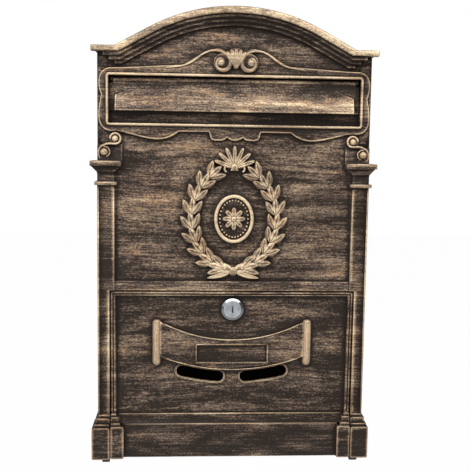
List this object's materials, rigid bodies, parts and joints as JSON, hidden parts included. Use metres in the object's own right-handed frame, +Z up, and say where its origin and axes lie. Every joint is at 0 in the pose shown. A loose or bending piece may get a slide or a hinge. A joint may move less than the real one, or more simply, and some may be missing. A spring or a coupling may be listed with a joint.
{
  "type": "wall mailbox",
  "caption": "Wall mailbox with an arched roof, cast classical front, hinged letter flap and a lockable door hinged at its foot.",
  "frame": {"origin": "centre of the four wall holes, on the wall face", "axes": "+X to the right seen from the front, +Y into the wall, +Z up"},
  "size_m": [0.256, 0.094, 0.4122],
  "materials": {
    "antique_bronze": "near black brown paint, dry brushed with pale bronze on edges and raised work",
    "case_sheet": "dark brown powder coat",
    "chrome": "polished chrome",
    "nickel": "satin nickel",
    "zinc_steel": "zinc plated steel"
  },
  "bodies": {
    "case": {"front_casting": "antique_bronze", "roof_cover": "antique_bronze", "left_side_panel": "case_sheet", "right_side_panel": "case_sheet", "back_plate": "case_sheet", "floor_panel": "case_sheet", "flap_rod": "zinc_steel", "left_flap_bracket": "zinc_steel", "right_flap_bracket": "zinc_steel", "left_hinge_pin": "zinc_steel", "right_hinge_pin": "zinc_steel", "front_screws": "zinc_steel", "back_rivets": "zinc_steel", "floor_rivets": "zinc_steel", "roof_rivets": "zinc_steel", "bracket_screws": "zinc_steel"},
    "flap": {"letter_flap": "antique_bronze"},
    "door_leaf": {"door": "antique_bronze", "lock_collar": "chrome", "lock_body": "nickel", "lock_washer": "nickel", "lock_nut": "nickel"},
    "lock_core": {"lock_plug": "nickel", "lock_cam": "zinc_steel", "cam_screw": "zinc_steel"}
  },
  "joints": [
    {"name": "flap_hinge", "type": "hinge", "parent": "case", "child": "flap", "pos_m": [0, -0.0798, 0.149], "axis": [-1, 0, 0], "range_deg": [0, 80]},
    {"name": "door_hinge", "type": "hinge", "parent": "case", "child": "door_leaf", "pos_m": [0, -0.0865, -0.1915], "axis": [1, 0, 0], "range_deg": [0, 95]},
    {"name": "lock_turn", "type": "hinge", "parent": "door_leaf", "child": "lock_core", "pos_m": [0, -0.083, -0.057], "axis": [0, -1, 0], "range_deg": [0, 90]}
  ]
}
